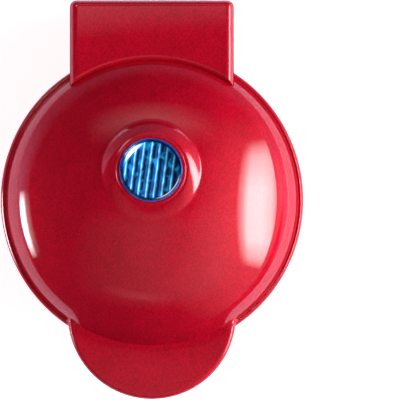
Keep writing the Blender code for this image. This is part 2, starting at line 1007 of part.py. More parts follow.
def make_lower_plate():
    dish = plate_radius - plate_rim_width
    flange_top = base_top - frame_thickness - clearance
    profile = [
        (0, plate_floor),
        (dish - plate_rim_slope, plate_floor),
        (dish, base_top),
        (plate_radius, base_top),
        (plate_radius, flange_top),
        (plate_flange_radius, flange_top),
        (plate_flange_radius, flange_top - plate_flange_thickness),
        (plate_flange_radius - plate_rim_slope, plate_back),
        (0, plate_back),
    ]
    plate = revolve("lower_cooking_plate", profile, shell_steps, parts)
    relief = slab(
        "relief", relief_outlines(), plate_floor - sink, plate_floor + relief_height, cutters
    )
    join(plate, turned(relief, relief_turn))
    for n, (x, y) in enumerate(boss_places()):
        foot = pan_floor + pan_sheet + clearance
        boss = cylinder(f"plate_boss_{n}", boss_radius, (x, y, foot), (x, y, plate_back + sink), cutters)
        hole = cylinder(
            f"plate_boss_bore_{n}",
            screw_shaft_radius + clearance,
            (x, y, foot - overrun),
            (x, y, plate_back - sink),
            cutters,
        )
        join(plate, boss)
        cut(plate, hole)
    for n, (x, y) in enumerate(element_ends()):
        half = lead_radius + clearance
        channel = box(
            f"lead_channel_{n}",
            (x - half, pan_rim_radius + pan_lip_width, plate_back - overrun),
            (x + half, plate_flange_radius, plate_back + channel_depth),
            cutters,
        )
        cut(plate, channel)
    plate = baked(plate)
    plate.data.materials.clear()
    plate.data.materials.append(dark_coating)
    return finish_smooth(plate, math.radians(25))


# Heating element, heat pan and their screws
def make_lower_element():
    height = plate_back - clearance - element_tube
    start = math.pi / 2 + element_gap_angle / 2
    sweep = 2 * math.pi - element_gap_angle
    count = 26
    ring = [polar(element_radius, start + sweep * i / (count - 1)) for i in range(count)]
    points = [(*ring[0], height - element_tail), (*ring[0], height - sink)]
    points += [(x, y, height) for x, y in ring[1:-1]]
    points += [(*ring[-1], height - sink), (*ring[-1], height - element_tail)]
    return tube("lower_heating_element", points, element_tube, parts, dark_steel)


def element_ends():
    start = math.pi / 2 + element_gap_angle / 2
    return [polar(element_radius, start), polar(element_radius, math.pi - start)]


def make_lower_pan():
    rim_top = plate_back - clearance
    slope = pan_sheet
    profile = [
        (pan_port_radius, pan_floor + pan_sheet),
        (pan_floor_radius - slope, pan_floor + pan_sheet),
        (pan_rim_radius - slope, rim_top),
        (pan_rim_radius + pan_lip_width, rim_top),
        (pan_rim_radius + pan_lip_width, rim_top - pan_sheet),
        (pan_rim_radius, rim_top - pan_sheet),
        (pan_floor_radius, pan_floor),
        (pan_port_radius, pan_floor),
    ]
    pan = revolve("lower_heat_pan", profile, pan_steps, parts, ring=True)
    low = pan_floor - overrun
    high = pan_floor + pan_sheet + overrun
    for n, (x, y) in enumerate(boss_places()):
        radius = screw_shaft_radius + clearance
        cut(pan, cylinder(f"pan_hole_{n}", radius, (x, y, low), (x, y, high), cutters))
    for n, (x, y) in enumerate(element_ends()):
        radius = element_tube + 2 * clearance
        cut(pan, cylinder(f"pan_port_{n}", radius, (x, y, low), (x, y, high), cutters))
    pan = baked(pan)
    pan.data.materials.clear()
    pan.data.materials.append(sheet_steel)
    return finish_smooth(pan)


def make_heating():
    """Plate, element, pan and screws of the base, and the same set turned over for the lid."""
    lower = [make_lower_plate(), make_lower_element(), make_lower_pan()]
    for n, (x, y) in enumerate(boss_places(), 1):
        place = (x, y, pan_floor - clearance)
        lower.append(screw(f"lower_plate_screw_{n}", place, plate_screw_length))
    upper = [mirrored(obj, obj.name.replace("lower", "upper")) for obj in lower]
    return lower, upper


# Thermostat and fuse under the lower plate
def make_controls():
    top = plate_back - clearance
    body = cylinder(
        "thermostat",
        thermostat_radius,
        (0, 0, top - thermostat_height),
        (0, 0, top),
        parts,
        black_plastic,
        2 * small_steps,
    )
    for side in (-1, 1):
        middle = side * thermostat_radius / 2
        blade = box(
            f"thermostat_blade_{side}",
            (middle - sink, -2 * overrun, top - thermostat_height - thermostat_blade),
            (middle + sink, 2 * overrun, top - thermostat_height + sink),
            cutters,
        )
        join(body, blade)
    fuse_z = pan_floor - clearance - fuse_radius
    fuse_y = -(pan_port_radius + boss_circle) / 2
    profile = [
        (0, fuse_length / 2),
        (fuse_radius, fuse_length / 2),
        (fuse_radius, -fuse_length / 2),
        (0, -fuse_length / 2),
    ]
    fuse = revolve("thermal_fuse", profile, small_steps, parts, material=bright_steel)
    moved(fuse, Matrix.Translation((0, fuse_y, fuse_z)) @ Matrix.Rotation(math.pi / 2, 4, "Y"))
    return [body, finish_smooth(fuse)]


# Terminal block and internal leads
def terminal_y():
    return bowl_core_radius + terminal_width / 2


def make_terminal_block():
    low = cover_top + clearance
    y = terminal_y()
    block = box(
        "terminal_block",
        (-terminal_length / 2, y - terminal_width / 2, low),
        (terminal_length / 2, y + terminal_width / 2, low + terminal_height),
        parts,
        ceramic,
    )
    for n in (-1, 0, 1):
        x = n * terminal_hole_pitch
        z = low + terminal_height / 2
        through = cylinder(
            f"terminal_through_{n}",
            terminal_hole_radius,
            (x, y - terminal_width / 2 - overrun, z),
            (x, y + terminal_width / 2 + overrun, z),
            cutters,
        )
        access = cylinder(
            f"terminal_access_{n}",
            terminal_hole_radius,
            (x, y, z),
            (x, y, low + terminal_height + overrun),
            cutters,
        )
        cut(block, through, access)
    return block


def smooth_route(stops, count):
    """Points on a smooth curve through the stops."""
    stops = [Vector(stop) for stop in stops]
    ends = [2 * stops[0] - stops[1], *stops, 2 * stops[-1] - stops[-2]]
    points = []
    for i in range(1, len(ends) - 2):
        a, b, c, d = ends[i - 1 : i + 3]
        for k in range(count):
            t = k / count
            points.append(
                b
                + (c - a) * t / 2
                + (2 * a - 5 * b + 4 * c - d) * t * t / 2
                + (3 * b - a - 3 * c + d) * t**3 / 2
            )
    return [*points, stops[-1]]


def make_base_leads():
    tail = plate_back - clearance - element_tube - element_tail
    port = cover_top + clearance + terminal_height / 2
    front = terminal_y() - terminal_width / 2 - clearance
    leads = []
    for name, end, side in zip(("base_lead_left", "base_lead_right"), element_ends(), (-1, 1)):
        start = (side * terminal_hole_pitch, front, port)
        middle = (end[0], (end[1] + front) / 2, (port + tail) / 2 - lead_radius)
        last = (end[0], end[1], tail - clearance)
        bend = (end[0], end[1], tail - 3 * lead_radius)
        route = smooth_route([start, middle, bend, last], 3)
        leads.append(tube(name, route, lead_radius, parts, lead_sleeve))
    return leads


def make_lid_leads():
    """Leads that run from the element's tails back over the pan's edge to the hinge block."""
    tail = 2 * seam_height - (plate_back - clearance - element_tube - element_tail)
    plate_top = 2 * seam_height - plate_back
    floor_top = 2 * seam_height - pan_floor
    step = 2 * lead_radius
    leads = []
    for name, (x, y) in zip(("lid_lead_left", "lid_lead_right"), element_ends()):
        lip = math.sqrt((pan_rim_radius + pan_lip_width) ** 2 - x**2)
        low = plate_top - channel_depth + lead_radius + clearance
        route = [
            (x, y, tail + clearance),
            (x, y, tail + step),
            (x, y + 2 * step, tail + step),
            (x, pan_floor_radius - step, floor_top + step),
            (x, lip - lead_radius, plate_top + 2 * step),
            (x, lip + lead_radius, plate_top + step + clearance),
            (x, lip + 2 * step, low + clearance),
            (x, plate_radius, low),
            (x, foot_of_shoulder, low),
        ]
        leads.append(tube(name, smooth_route(route, 2), lead_radius, parts, lead_sleeve))
    return leads


# Hinge pins and bushes
def make_hinge_parts():
    pins = []
    bushes = []
    for name, side in (("left", -1), ("right", 1)):
        inner = side * (knuckle_inner - clearance - lid_rib_width)
        outer = side * (block_half_width - pin_recess)
        pins.append(
            cylinder(
                f"hinge_pin_{name}",
                pin_radius,
                (inner, hinge_y, hinge_z),
                (outer, hinge_y, hinge_z),
                parts,
                bright_steel,
            )
        )
        half = knuckle_width / 2
        profile = [(bush_bore, half), (bush_radius, half), (bush_radius, -half), (bush_bore, -half)]
        bush = revolve(f"hinge_bush_{name}", profile, small_steps, parts, ring=True, material=brass)
        middle = side * (knuckle_inner + knuckle_outer) / 2
        turn = Matrix.Rotation(math.pi / 2, 4, "Y")
        moved(bush, Matrix.Translation((middle, hinge_y, hinge_z)) @ turn)
        bushes.append(finish_smooth(bush))
    return pins, bushes


# Bottom cover, its screws and the feet
def foot_places():
    side = block_half_width - foot_inset
    back = rear_face - 2 * foot_inset + rear_post_inset
    front = [polar(front_foot_circle, a) for a in front_foot_angles]
    return [*front, (side - foot_radius, back), (foot_radius - side, back)]


def make_bottom_cover():
    width = bowl_radius - bowl_core_radius
    depth = bowl_shoulder - foot_ring_height + sink
    last = math.asin((bowl_shoulder - foot_ring_height) / depth)
    radius = bowl_core_radius + width * math.cos(last) - wall - clearance
    cover = cylinder(
        "bottom_cover",
        radius,
        (0, 0, cover_bottom),
        (0, 0, cover_top),
        parts,
        black_plastic,
        steps=inner_steps,
    )
    rear = slab(
        "cover_rear", [rear_block_outline(wall + clearance, 0)], cover_bottom, cover_top, cutters
    )
    join(cover, rear)
    for n, (x, y) in enumerate(post_places()):
        hole = cylinder(
            f"cover_hole_{n}",
            screw_shaft_radius + clearance,
            (x, y, cover_bottom - overrun),
            (x, y, cover_top + overrun),
            cutters,
        )
        recess = cylinder(
            f"cover_recess_{n}",
            screw_head_radius + clearance,
            (x, y, cover_bottom - overrun),
            (x, y, cover_bottom + screw_head_height + 2 * clearance),
            cutters,
        )
        cut(cover, hole, recess)
    for n, (x, y) in enumerate(foot_places()):
        socket = cylinder(
            f"foot_socket_{n}",
            foot_plug_radius + clearance,
            (x, y, cover_bottom - overrun),
            (x, y, cover_top + overrun),
            cutters,
        )
        cut(cover, socket)
    for n in range(vent_count):
        x = (n - (vent_count - 1) / 2) * vent_pitch
        slot = box(
            f"vent_{n}",
            (x - vent_width / 2, -vent_length / 2, cover_bottom - overrun),
            (x + vent_width / 2, vent_length / 2, cover_top + overrun),
            cutters,
        )
        cut(cover, slot)
    return cover


def make_feet_and_screws():
    made = []
    for n, (x, y) in enumerate(post_places(), 1):
        place = (x, y, cover_bottom + screw_head_height + clearance)
        made.append(screw(f"cover_screw_{n}", place, cover_screw_length))
    plug_top = foot_height + foot_plug_height
    for n, (x, y) in enumerate(foot_places(), 1):
        profile = [
            (0, plug_top),
            (foot_plug_radius, plug_top),
            (foot_plug_radius, foot_height),
            (foot_radius, foot_height),
            (foot_radius, sink),
            (foot_radius - sink, 0),
            (0, 0),
        ]
        foot = revolve(f"rubber_foot_{n}", profile, foot_steps, parts, material=black_rubber)
        made.append(finish_smooth(moved(foot, Matrix.Translation((x, y, 0)))))
    return made


# Grommet in the rear wall where the supply enters
def make_cord_inlet():
    half = wall / 2 + clearance
    outer = half + inlet_flange_thickness - clearance
    profile = [
        (inlet_bore_radius, outer),
        (inlet_flange_radius - sink, outer),
        (inlet_flange_radius, outer - sink),
        (inlet_flange_radius, half),
        (inlet_neck_radius, half),
        (inlet_neck_radius, -half),
        (inlet_flange_radius, -half),
        (inlet_flange_radius, -outer),
        (inlet_bore_radius, -outer),
    ]
    bush = revolve("cord_inlet_bush", profile, 2 * small_steps, parts, ring=True, material=black_rubber)
    turn = Matrix.Rotation(-math.pi / 2, 4, "X")
    moved(bush, Matrix.Translation((0, rear_face - wall / 2, inlet_height)) @ turn)
    return finish_smooth(bush)


def hang_on_hinge(lid_parts):
    """Puts the lid's pieces under an empty on the hinge's axis."""
    axis = bpy.data.objects.new("lid_hinge_axis", None)
    parts.objects.link(axis)
    axis.location = (0, hinge_y, hinge_z)
    bpy.context.view_layer.update()
    for obj in lid_parts:
        obj.parent = axis
        obj.matrix_parent_inverse = axis.matrix_world.inverted()


lid_shell = make_lid_shell()
indicator_lens = make_lens()
lens_holder, indicator_lamp = make_lens_holder()
lid_frame = make_lid_frame()
make_base_shell()
make_base_frame()
lower_set, upper_set = make_heating()
make_controls()
make_terminal_block()
make_base_leads()
lid_leads = make_lid_leads()
hinge_pins, hinge_bushes = make_hinge_parts()
make_bottom_cover()
make_feet_and_screws()
make_cord_inlet()
lid_pieces = [lid_shell, indicator_lens, lens_holder, indicator_lamp, lid_frame]
hang_on_hinge([*lid_pieces, *upper_set, *lid_leads, *hinge_pins])
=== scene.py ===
import json
import math

import bmesh
import bpy
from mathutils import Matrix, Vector


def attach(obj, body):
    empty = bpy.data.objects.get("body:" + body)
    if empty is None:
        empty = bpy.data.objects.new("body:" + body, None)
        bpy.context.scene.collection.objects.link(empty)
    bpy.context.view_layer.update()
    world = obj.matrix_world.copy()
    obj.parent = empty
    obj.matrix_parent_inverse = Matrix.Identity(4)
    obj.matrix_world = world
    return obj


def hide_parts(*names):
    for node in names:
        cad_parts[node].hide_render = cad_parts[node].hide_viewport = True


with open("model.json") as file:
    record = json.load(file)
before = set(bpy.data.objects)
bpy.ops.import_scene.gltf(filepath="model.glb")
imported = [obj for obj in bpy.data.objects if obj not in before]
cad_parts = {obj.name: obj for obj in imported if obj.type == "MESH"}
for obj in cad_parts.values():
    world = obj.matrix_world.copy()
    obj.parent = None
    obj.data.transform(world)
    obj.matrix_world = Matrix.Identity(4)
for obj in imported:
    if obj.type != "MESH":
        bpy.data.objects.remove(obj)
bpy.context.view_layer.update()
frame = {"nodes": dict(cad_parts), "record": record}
nodes = frame["nodes"]
print("frame loaded:", len(nodes), "nodes")

mm = 0.001  # sizes below are in mm, unless they go straight to a node or a light


# small helpers


def clamp(t):
    return min(max(t, 0), 1)


def fromMm(points):
    return [(x * mm, y * mm, z * mm) for x, y, z in points]


def meshPiece(name, points, faces, material, smoothAngle=35):
    mesh = bpy.data.meshes.new(name)
    mesh.from_pydata(points, [], faces)
    mesh.validate()
    mesh.materials.append(material)
    mesh.shade_smooth()
    mesh.set_sharp_from_angle(angle=math.radians(smoothAngle))
    obj = bpy.data.objects.new(name, mesh)
    bpy.context.scene.collection.objects.link(obj)
    return obj


def ringFaces(ringCount, perRing):
    faces = []
    for k in range(ringCount - 1):
        a, b = k * perRing, (k + 1) * perRing
        for i in range(perRing):
            j = (i + 1) % perRing
            faces.append((a + i, a + j, b + j, b + i))
    return faces


def keptFaces(points, faces, drop):  # all but the faces whose middle lies where drop says
    kept = []
    for face in faces:
        middle = [sum(points[i][axis] for i in face) / len(face) for axis in range(3)]
        if not drop(*middle):
            kept.append(face)
    return kept


def arc(x, y, radius, first, span, steps, z):
    angles = [first + span * k / steps for k in range(steps + 1)]
    return [(x + radius * math.cos(a), y + radius * math.sin(a), z) for a in angles]


class Val:  # a shader socket that takes part in Python sums
    def __init__(self, tree, socket):
        self.tree = tree
        self.socket = socket

    def math(self, kind, a, b=None):
        node = self.tree.nodes.new("ShaderNodeMath")
        node.operation = kind
        for slot, value in zip(node.inputs, (a, b)):
            if isinstance(value, Val):
                self.tree.links.new(value.socket, slot)
            elif value is not None:
                slot.default_value = value
        return Val(self.tree, node.outputs[0])

    def __add__(self, other):
        return self.math("ADD", self, other)

    __radd__ = __add__

    def __mul__(self, other):
        return self.math("MULTIPLY", self, other)

    __rmul__ = __mul__

    def __sub__(self, other):
        return self.math("SUBTRACT", self, other)

    def __rsub__(self, other):
        return self.math("SUBTRACT", other, self)

    def __abs__(self):
        return self.math("ABSOLUTE", self)

    def under(self, other):
        return self.math("MINIMUM", self, other)

    def fraction(self):
        return self.math("FRACT", self)


class Nodes:  # adds nodes to one tree
    def __init__(self, tree):
        self.tree = tree

    def node(self, kind, settings=None, values=None, pick=0):
        node = self.tree.nodes.new(kind)
        for key, value in (settings or {}).items():
            if key == "stops":
                ramp = node.color_ramp
                while len(ramp.elements) < len(value):
                    ramp.elements.new(0.5)
                for element, (spot, colour) in zip(ramp.elements, value):
                    element.position = spot
                    element.color = (*colour, 1)
            else:
                setattr(node, key, value)
        for key, value in (values or {}).items():
            if isinstance(value, Val):
                self.tree.links.new(value.socket, node.inputs[key])
            else:
                node.inputs[key].default_value = value
        return Val(self.tree, node.outputs[pick])

    def vector(self, operation, a, b):
        return self.node("ShaderNodeVectorMath", {"operation": operation}, {0: a, 1: b})

    def axes(self, vector):
        return [self.node("ShaderNodeSeparateXYZ", {}, {0: vector}, axis) for axis in "XYZ"]

    def noise(self, scale, detail=2.0, rough=0.5, place=None):
        values = {"Vector": place or self.place, "Scale": scale, "Detail": detail, "Roughness": rough}
        return self.node("ShaderNodeTexNoise", {}, values)

    def cells(self, scale, pick="Distance"):
        return self.node("ShaderNodeTexVoronoi", {}, {"Vector": self.place, "Scale": scale}, pick)

    def ramp(self, value, stops):
        return self.node("ShaderNodeValToRGB", {"stops": stops}, {"Fac": value})

    def bump(self, height, depth, strength=1.0):
        return self.node("ShaderNodeBump", {}, {"Height": height, "Distance": depth, "Strength": strength})


class Paint(Nodes):  # one material under construction
    def __init__(self, name):
        self.material = bpy.data.materials.new(name)
        self.material.use_nodes = True
        super().__init__(self.material.node_tree)
        self.shader = self.tree.nodes["Principled BSDF"]
        self.place = self.node("ShaderNodeTexCoord", pick="Object")

    def fromAxis(self, middle, reach):  # x, y, and the distance from the upright axis at y = middle, 1 at reach
        x, y, _ = self.axes(self.place)
        flat = self.node("ShaderNodeCombineXYZ", {}, {0: x, 1: y - middle})
        return x, y, self.node("ShaderNodeVectorMath", {"operation": "LENGTH"}, {0: flat}, "Value") * (1 / reach)

    def finish(self, **sockets):
        for key, value in sockets.items():
            slot = self.shader.inputs[key.replace("_", " ")]
            if isinstance(value, Val):
                self.tree.links.new(value.socket, slot)
            else:
                slot.default_value = (*value, 1) if isinstance(value, tuple) and len(value) == 3 else value
        return self.material


def rgb(r, g, b):  # screen colour, 0 to 255, as the linear values that sockets take
    return tuple((c / 12.92 if c <= 0.04045 else ((c + 0.055) / 1.055) ** 2.4) for c in (r / 255, g / 255, b / 255))


def grey(*stops):
    return [(spot, (level, level, level)) for spot, level in stops]


# finishes


def candyRed():
    look = dict(
        flakeSize=2000, flakeDepth=0.00008, flakeTilt=0.5, cloudSize=90, deep=rgb(187, 0, 32), bright=rgb(228, 5, 48),
        metal=0.44, rough=0.63, uneven=0.06, gleam=0.1, coat=0.03, coatIor=1.62,
    )
    p = Paint("candyRed")
    flake = p.cells(look["flakeSize"], "Color")
    cloud = p.noise(look["cloudSize"], 3)
    tone = p.ramp(flake * 0.6 + cloud * 0.4, [(0.25, look["deep"]), (0.8, look["bright"])])
    return p.finish(
        Base_Color=tone, Metallic=look["metal"], Roughness=look["rough"] + cloud * look["uneven"],
        Normal=p.bump(flake, look["flakeDepth"], look["flakeTilt"]), Specular_IOR_Level=look["gleam"],
        Coat_Weight=1.0, Coat_Roughness=look["coat"], Coat_IOR=look["coatIor"],
    )


def darkCoating():
    p = Paint("darkCoating")
    grain = p.noise(1400, 4)
    wear = p.noise(60, 3)
    tone = p.ramp(grain * 0.6 + wear * 0.4, [(0.3, rgb(26, 25, 25)), (0.75, rgb(56, 54, 52))])
    return p.finish(Base_Color=tone, Roughness=0.34 + wear * 0.14, Metallic=0.1, Normal=p.bump(grain, 0.00006))


def brushedSteel(name, dark, light, scale=(1, 60, 1)):
    p = Paint(name)
    stretched = p.node("ShaderNodeMapping", {}, {"Vector": p.place, "Scale": scale})
    grain = p.noise(220, 4, 0.6, stretched)
    tone = p.ramp(grain, [(0.3, dark), (0.7, light)])
    return p.finish(Base_Color=tone, Metallic=1.0, Roughness=0.24 + grain * 0.18, Normal=p.bump(grain, 0.00002))


def moulded(name, dark, light, roughness, grainDepth=0.00005, size=900):
    p = Paint(name)
    grain = p.noise(size, 5, 0.6)
    tone = p.ramp(grain, [(0.3, dark), (0.7, light)])
    return p.finish(Base_Color=tone, Roughness=roughness + grain * 0.1, Normal=p.bump(grain, grainDepth))


def wovenSleeve():
    p = Paint("wovenSleeve")
    bands = {"wave_type": "BANDS", "bands_direction": "DIAGONAL"}
    weave = p.node("ShaderNodeTexWave", bands, {"Vector": p.place, "Scale": 900.0, "Distortion": 1.5}, 1)
    tone = p.ramp(weave, [(0.2, rgb(170, 160, 132)), (0.8, rgb(222, 214, 190))])
    return p.finish(Base_Color=tone, Roughness=0.85, Normal=p.bump(weave, 0.0001))


# the lens stands at y = middle, and reach is the radius at which the ramps of its finishes end
lens = dict(
    middle=12.3, reach=20.0, radius=12.8, edge=70.0, crown=1.5, edgeRound=0.5, seat=67.2, seatInset=0.4, around=96,
    pitch=3.2, lean=math.radians(7.5), ribTop=67.0, ribDepth=0.9, ribField=12.2, ribCells=120,
)


def lensBlue():  # clear over the ribs, and nearly solid at the rim
    look = dict(dark=rgb(1, 20, 44), blue=rgb(2, 70, 172), pale=rgb(40, 150, 214), clear=0.25, solid=0.7, glow=0.65)
    p = Paint("lensBlue")
    _, _, side = p.fromAxis(lens["middle"] * mm, lens["reach"] * mm)
    rim = p.ramp(side, grey((0.614, 0), (0.63, 1)))
    stops = [(0.3, look["dark"]), (0.85, look["blue"]), (1, look["pale"])]
    tone = p.ramp(rim * 0.55 + p.noise(300, 2) * 0.6, stops)
    return p.finish(
        Base_Color=tone, Roughness=0.05, Alpha=look["clear"] + rim * look["solid"], IOR=1.45, Specular_IOR_Level=0.0,
        Coat_Weight=1.0 - rim * 0.9, Coat_Roughness=0.02, Coat_IOR=1.9,
        Emission_Color=tone, Emission_Strength=look["glow"],
    )


def ribBlue():  # rods behind the lens, drawn as glow, with painted highlights on their ridges, painted shade and a painted glint
    look = dict(
        black=(0, 0, 0), navy=rgb(3, 16, 34), mid=rgb(5, 88, 166), cyan=rgb(18, 158, 218), white=rgb(190, 252, 252),
        teal=rgb(6, 92, 130), sky=rgb(8, 110, 200), pale=rgb(225, 250, 252), phase=40.26, waver=0.16, glow=2.4,
    )
    middle, reach = lens["middle"] * mm, lens["reach"] * mm
    p = Paint("ribBlue")
    x, y, side = p.fromAxis(middle, reach)
    across = (x * math.cos(lens["lean"]) - y * math.sin(lens["lean"])) * (1 / (lens["pitch"] * mm))
    phase = (across + p.noise(420, 3) * look["waver"] + look["phase"]).fraction()
    # painted highlights: the ridge tops light cyan to white, the flanks mid blue, the valleys navy
    stops = [(0.06, look["navy"]), (0.2, look["mid"]), (0.36, look["mid"]), (0.46, look["cyan"])]
    stops += [(0.56, look["white"]), (0.66, look["cyan"]), (0.76, look["mid"]), (0.86, look["navy"])]
    paintedRodHighlights = p.ramp(phase, stops)
    rim = p.ramp(side, [(0.55, (1, 1, 1)), (0.59, look["navy"])])
    # painted shade: the rods dim from the left towards the right, and a little towards the top
    shade = p.ramp((x + (y - middle) * 0.25) * 40 + 0.5, grey((0.1, 1), (0.62, 0.8), (0.9, 0.25)))
    patchy = p.ramp(p.noise(260, 1), grey((0.35, 0.5), (0.6, 1)))
    lines = p.vector("MULTIPLY", p.vector("MULTIPLY", paintedRodHighlights, rim), shade * patchy)
    loose = p.ramp(p.noise(330, 1), [(0.56, look["black"]), (0.66, look["teal"])])
    lit = p.vector("ADD", lines, p.vector("MULTIPLY", loose, rim))
    # a painted glint: a bright crescent along the upper left
    ring = p.ramp(side, grey((0.46, 0), (0.52, 1), (0.565, 1), (0.6, 0)))
    paintedGlintSide = p.ramp((y - middle - x) * (1 / reach), grey((0.6, 0), (0.78, 1)))
    paintedGlint = p.ramp(ring * paintedGlintSide, [(0.05, look["black"]), (0.45, look["sky"]), (0.9, look["pale"])])
    # a painted reflection: a thin arc along the lower right
    edge = p.ramp(side, grey((0.575, 0), (0.59, 1), (0.605, 0)))
    paintedArcSide = p.ramp((x + middle - y) * (1 / reach), grey((0.66, 0), (0.78, 0.6)))
    glow = p.vector("ADD", lit, p.vector("ADD", paintedGlint, edge * paintedArcSide))
    return p.finish(
        Base_Color=glow, Roughness=0.4, Specular_IOR_Level=0.1, Emission_Color=glow, Emission_Strength=look["glow"],
    )


finishes = {
    "candy_red": candyRed(),
    "dark_coating": darkCoating(),
    "sheet_steel": brushedSteel("sheetSteel", rgb(165, 165, 166), rgb(212, 212, 214)),
    "dark_steel": brushedSteel("elementSteel", rgb(70, 66, 64), rgb(118, 112, 108), (30, 30, 30)),
    "bright_steel": brushedSteel("screwSteel", rgb(182, 182, 184), rgb(228, 228, 230), (8, 8, 40)),
    "brass": brushedSteel("turnedBrass", rgb(178, 138, 66), rgb(224, 186, 104), (60, 1, 1)),
    "black_plastic": moulded("blackPlastic", rgb(24, 24, 25), rgb(40, 40, 42), 0.5),
    "black_rubber": moulded("blackRubber", rgb(20, 20, 20), rgb(34, 34, 34), 0.75, 0.00008),
    "white_plastic": moulded("whitePlastic", rgb(214, 214, 210), rgb(236, 236, 232), 0.42),
    "lamp_glass": moulded("lampGlass", rgb(222, 172, 140), rgb(244, 206, 176), 0.12),
    "ceramic": moulded("ceramic", rgb(214, 208, 192), rgb(236, 230, 214), 0.55, 0.00006, 400),
    "lead_sleeve": wovenSleeve(),
    "lens_blue": lensBlue(),
}
ribPaint = ribBlue()
red = finishes["candy_red"]
slotOf = {entry["node"]: entry["material_slot"] for entry in frame["record"]["subparts"]}
for name, obj in nodes.items():
    obj.data.materials.clear()
    obj.data.materials.append(finishes[slotOf[name]])
print("finishes ready")


# the lid's outer skin, as one height over the plan

lid = dict(
    radius=63.0, foot=60.4, base=42.5, capEdge=54.3, capRise=19.0, shoulderDrop=7.5, bottom=37.8, wall=2.2, around=288,
    # the raised seat round the lens; rings run round the lens up to ownRings and round the lid from lidRings
    pedestalTop=69.0, ringEdge=14.8, flankRun=6.2, flankEase=0.18, ownRings=24.0, lidRings=48.0,
    lipEdge=14.0, lipRun=0.5, lipRise=0.4, lipEase=0.4, lensHole=12.95, holeRound=0.08, holeDrop=0.12,
    # the front tab, whose skin meets the rim's at tabMeet
    tabY=-47.8, tabR=35.0, tabTop=44.6, tabRound=2.2, tabEase=4.5, tabSlope=0.9,
    tabFront=62.35, tabMeet=62.45, tabStep=0.4,
    # the hinge block and the skirt under it
    blockHalf=34.0, blockRear=82.8, blockTop=48.5, blockRound=2.4, blockDrop=3.6, blockCorner=2.8, blockFront=57.9,
    sideRound=3.2, frontRound=2.2, leastCorner=0.4, topFlat=0.4, skirtBottom=31.0, skirtFront=64.0,
    hollowTop=46.0, hollowRear=70.0, domeEnd=60.2, lowerEdge=0.3,
)
# radius and height of the rim's upper side, and of its outer and lower side
lidRim = [
    (60.4, 42.5), (60.7, 42.15), (61.0, 42.05), (61.3, 42.15), (61.55, 42.3), (61.8, 42.3),
    (62.0, 42.22), (62.5, 41.84), (62.75, 41.5), (62.95, 41.05), (63.0, 40.7),
]
lidSkirt = [(63.0, 38.05), (62.93, 37.87), (62.75, 37.8), (61.0, 37.8), (60.8, 37.85), (60.8, 40.5)]


def domeHeight(r):
    capR = (lid["capEdge"] ** 2 + lid["capRise"] ** 2) / (2 * lid["capRise"])
    capBase = lid["base"] + lid["shoulderDrop"]
    if r <= lid["capEdge"]:
        return capBase + lid["capRise"] - capR + math.sqrt(capR**2 - r * r)
    if r <= lid["foot"]:
        edge = math.asin(lid["capEdge"] / capR)
        run = lid["foot"] - lid["capEdge"]
        bend = math.atan2(lid["shoulderDrop"], run) - edge
        shoulderR = math.hypot(run, lid["shoulderDrop"]) / (2 * math.sin(bend))
        centreR = lid["capEdge"] - shoulderR * math.sin(edge)
        centreZ = capBase - shoulderR * math.cos(edge)
        return centreZ + math.sqrt(shoulderR**2 - (r - centreR) ** 2)
    for (r0, z0), (r1, z1) in zip(lidRim, lidRim[1:]):
        if r <= r1:
            return z0 + (z1 - z0) * (r - r0) / (r1 - r0)
    return lidRim[-1][1]


def eased(t, ease):  # a straight ramp from 0 to 1 whose two ends are rounded
    if t > 0.5:
        return 1 - eased(1 - t, ease)
    return t * t / (2 * ease * (1 - ease)) if t < ease else (t - ease / 2) / (1 - ease)


def lidHeight(x, y):
    r = math.hypot(x, y)
    z = domeHeight(r)
    fromLens = math.hypot(x, y - lens["middle"])
    t = clamp((fromLens - lid["ringEdge"]) / lid["flankRun"])
    z += max(lid["pedestalTop"] - z, 0) * (1 - eased(t, lid["flankEase"]))
    t = clamp((fromLens - lid["lipEdge"]) / lid["lipRun"])
    z += lid["lipRise"] * (1 - eased(t, lid["lipEase"]))
    inTab = lid["tabR"] - math.hypot(x, y - lid["tabY"])
    if y < 0 and inTab > 0:
        roll = max(lid["tabRound"] - inTab, 0)
        plane = lid["tabTop"] - lid["tabRound"] + math.sqrt(max(lid["tabRound"] ** 2 - roll**2, 0))
        if r > lid["capEdge"]:
            cone = lid["base"] + lid["shoulderDrop"] - lid["tabSlope"] * (r - lid["capEdge"])
            z += max(cone - z, 0) * min(inTab / lid["tabEase"], 1)
        z = max(z, plane) if r < lid["tabMeet"] else min(z, plane - lid["tabStep"])
    return z


def run(start, step, count):
    return [start + step * k for k in range(count)]


def lidRings():
    # the rings lie close together where the skin bends
    radii = [lid["lensHole"], lid["lensHole"] + lid["holeRound"], 13.3, 13.6, 13.9]
    radii += run(lid["lipEdge"], 0.0625, 11) + run(lid["ringEdge"], 0.2, 32) + [21.5, 22.2, 23.0]
    radii += run(24.0, 1.0, 29) + run(53.0, 0.3, 24) + run(60.0, 0.1, 29) + [62.9, 62.96, 63.0]
    rings = []
    for radius in radii:
        share = clamp((lid["lidRings"] - radius) / (lid["lidRings"] - lid["ownRings"]))
        centre = lens["middle"] * share * share * (3 - 2 * share)
        drop = lid["holeDrop"] if radius == lid["lensHole"] else 0
        ring = []
        for i in range(lid["around"]):
            a = 2 * math.pi * (i + 0.5) / lid["around"]
            x, y = radius * math.cos(a), centre + radius * math.sin(a)
            ring.append((x, y, lidHeight(x, y) - drop))
        rings.append(ring)
    return rings


def underBlock(x, y, z):
    return abs(x) < lid["blockHalf"] - lid["wall"] and y > 0 and math.hypot(x, y) > lid["domeEnd"]


def inHollow(x, y, z):
    return z < lid["hollowTop"] - 0.1 and abs(x) < lid["blockHalf"] - lid["wall"] and y < lid["hollowRear"]


